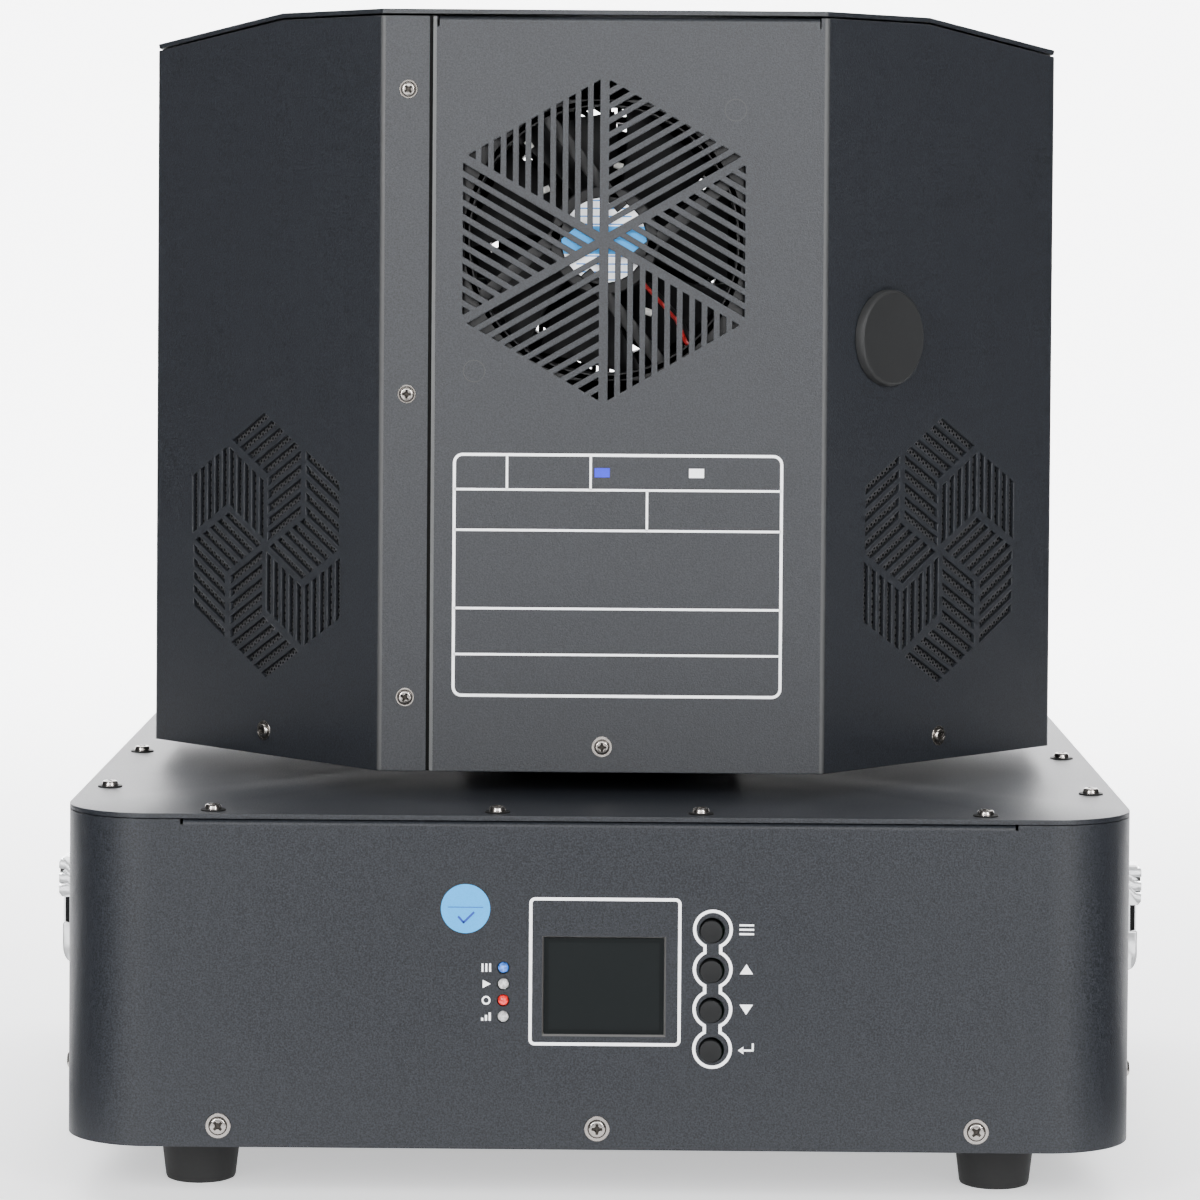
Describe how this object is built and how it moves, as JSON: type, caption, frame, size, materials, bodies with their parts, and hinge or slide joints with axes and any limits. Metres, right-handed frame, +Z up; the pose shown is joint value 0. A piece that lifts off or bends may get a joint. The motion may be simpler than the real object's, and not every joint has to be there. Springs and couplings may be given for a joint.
{
  "type": "cold spark machine",
  "caption": "Rotating cold spark machine with a square base, a display and menu buttons, folding side handles, and an eight sided turning head with two spark nozzles.",
  "frame": {"origin": "centre of the underside of the four feet, on the axis the head turns about", "axes": "+Z up, -Y the front with the display, +X to the right of someone facing the front"},
  "size_m": [0.3652, 0.347, 0.382],
  "materials": {
    "powder_coat": "fine satin powder coat, black grey",
    "foot_rubber": "matte",
    "display_plastic": "dark window",
    "board": "circuit board",
    "black_plastic": "moulded",
    "lamp_lens": "clear lens",
    "rocker_red": "moulded",
    "chrome": "polished plating",
    "bare_steel": "bare sheet and turned steel",
    "turned_aluminium": "turned",
    "brass": "cut"
  },
  "bodies": {
    "base": {"foot_front_left": "foot_rubber", "foot_front_right": "foot_rubber", "foot_rear_left": "foot_rubber", "foot_rear_right": "foot_rubber", "base_bottom_plate": "powder_coat", "base_body_shell": "powder_coat", "base_top_plate": "powder_coat", "indicator_lamp_1": "lamp_lens", "indicator_lamp_2": "lamp_lens", "indicator_lamp_3": "lamp_lens", "indicator_lamp_4": "lamp_lens", "lcd_window": "display_plastic", "control_board": "board", "mains_inlet": "black_plastic", "mains_outlet": "black_plastic", "signal_inlet": "black_plastic", "signal_outlet": "black_plastic", "fuse_holder": "black_plastic", "power_switch_housing": "black_plastic", "handle_bracket_right": "chrome", "handle_bracket_left": "chrome", "power_supply": "bare_steel", "drive_motor": "bare_steel", "motor_bracket": "bare_steel", "bearing_outer_ring": "bare_steel", "slip_ring_stator": "black_plastic"},
    "head": {"turntable_column": "turned_aluminium", "ring_gear": "bare_steel", "bearing_inner_ring": "bare_steel", "slip_ring_rotor": "black_plastic", "head_bottom_plate": "powder_coat", "head_top_plate": "powder_coat", "head_shell_right": "powder_coat", "head_shell_left": "powder_coat", "dust_screen_right": "bare_steel", "dust_screen_left": "bare_steel", "fan_frame_front": "black_plastic", "fan_frame_rear": "black_plastic", "spark_nozzle_right": "bare_steel", "spark_nozzle_left": "bare_steel", "heater_chamber_right": "bare_steel", "heater_chamber_left": "bare_steel", "granule_hopper_right": "bare_steel", "granule_hopper_left": "bare_steel", "feed_motor_right": "bare_steel", "feed_motor_left": "bare_steel"},
    "pinion": {"drive_pinion": "brass"},
    "button_1": {"menu_button_1": "black_plastic"},
    "button_2": {"menu_button_2": "black_plastic"},
    "button_3": {"menu_button_3": "black_plastic"},
    "button_4": {"menu_button_4": "black_plastic"},
    "rocker": {"power_switch_rocker": "rocker_red"},
    "bail_right": {"handle_bail_right": "chrome"},
    "screw_right": {"feed_screw_right": "bare_steel"},
    "bail_left": {"handle_bail_left": "chrome"},
    "screw_left": {"feed_screw_left": "bare_steel"},
    "rotor_front": {"fan_rotor_front": "black_plastic"},
    "plug_front": {"filler_plug_front": "black_plastic"},
    "rotor_rear": {"fan_rotor_rear": "black_plastic"},
    "plug_rear": {"filler_plug_rear": "black_plastic"}
  },
  "joints": [
    {"name": "head_turn", "type": "hinge", "parent": "base", "child": "head", "pos_m": [0, 0, 0.125], "axis": [0, 0, 1], "continuous": true},
    {"name": "pinion_turn", "type": "hinge", "parent": "base", "child": "pinion", "pos_m": [0.06, 0, 0.096], "axis": [0, 0, 1], "continuous": true},
    {"name": "button_1_press", "type": "slide", "parent": "base", "child": "button_1", "axis": [0, 1, 0], "range_m": [0, 0.0015], "stiffness_N_per_m": 400},
    {"name": "button_2_press", "type": "slide", "parent": "base", "child": "button_2", "axis": [0, 1, 0], "range_m": [0, 0.0015], "stiffness_N_per_m": 400},
    {"name": "button_3_press", "type": "slide", "parent": "base", "child": "button_3", "axis": [0, 1, 0], "range_m": [0, 0.0015], "stiffness_N_per_m": 400},
    {"name": "button_4_press", "type": "slide", "parent": "base", "child": "button_4", "axis": [0, 1, 0], "range_m": [0, 0.0015], "stiffness_N_per_m": 400},
    {"name": "rocker_tilt", "type": "hinge", "parent": "base", "child": "rocker", "pos_m": [0.018, 0.1701, 0.0725], "axis": [-1, 0, 0], "range_deg": [0, 20]},
    {"name": "bail_right_lift", "type": "hinge", "parent": "base", "child": "bail_right", "pos_m": [0.1789, 0, 0.0907], "axis": [0, -1, 0], "range_deg": [0, 90]},
    {"name": "bail_left_lift", "type": "hinge", "parent": "base", "child": "bail_left", "pos_m": [-0.1789, 0, 0.0907], "axis": [0, 1, 0], "range_deg": [0, 90]},
    {"name": "fan_front_spin", "type": "hinge", "parent": "head", "child": "rotor_front", "pos_m": [0, -0.107, 0.3068], "axis": [0, -1, 0], "continuous": true},
    {"name": "fan_rear_spin", "type": "hinge", "parent": "head", "child": "rotor_rear", "pos_m": [0, 0.107, 0.3068], "axis": [0, 1, 0], "continuous": true},
    {"name": "feed_right_spin", "type": "hinge", "parent": "head", "child": "screw_right", "pos_m": [0.10159, 0, 0.216], "axis": [-0.6977, -0.7164, 0], "continuous": true},
    {"name": "feed_left_spin", "type": "hinge", "parent": "head", "child": "screw_left", "pos_m": [-0.10159, 0, 0.216], "axis": [0.6977, 0.7164, 0], "continuous": true},
    {"name": "plug_front_pull", "type": "slide", "parent": "head", "child": "plug_front", "axis": [0.7164, -0.6977, 0], "range_m": [0, 0.025]},
    {"name": "plug_rear_pull", "type": "slide", "parent": "head", "child": "plug_rear", "axis": [-0.7164, 0.6977, 0], "range_m": [0, 0.025]}
  ],
  "couplings": [
    {"joint": "pinion_turn", "follows": "head_turn", "ratio": -3}
  ]
}
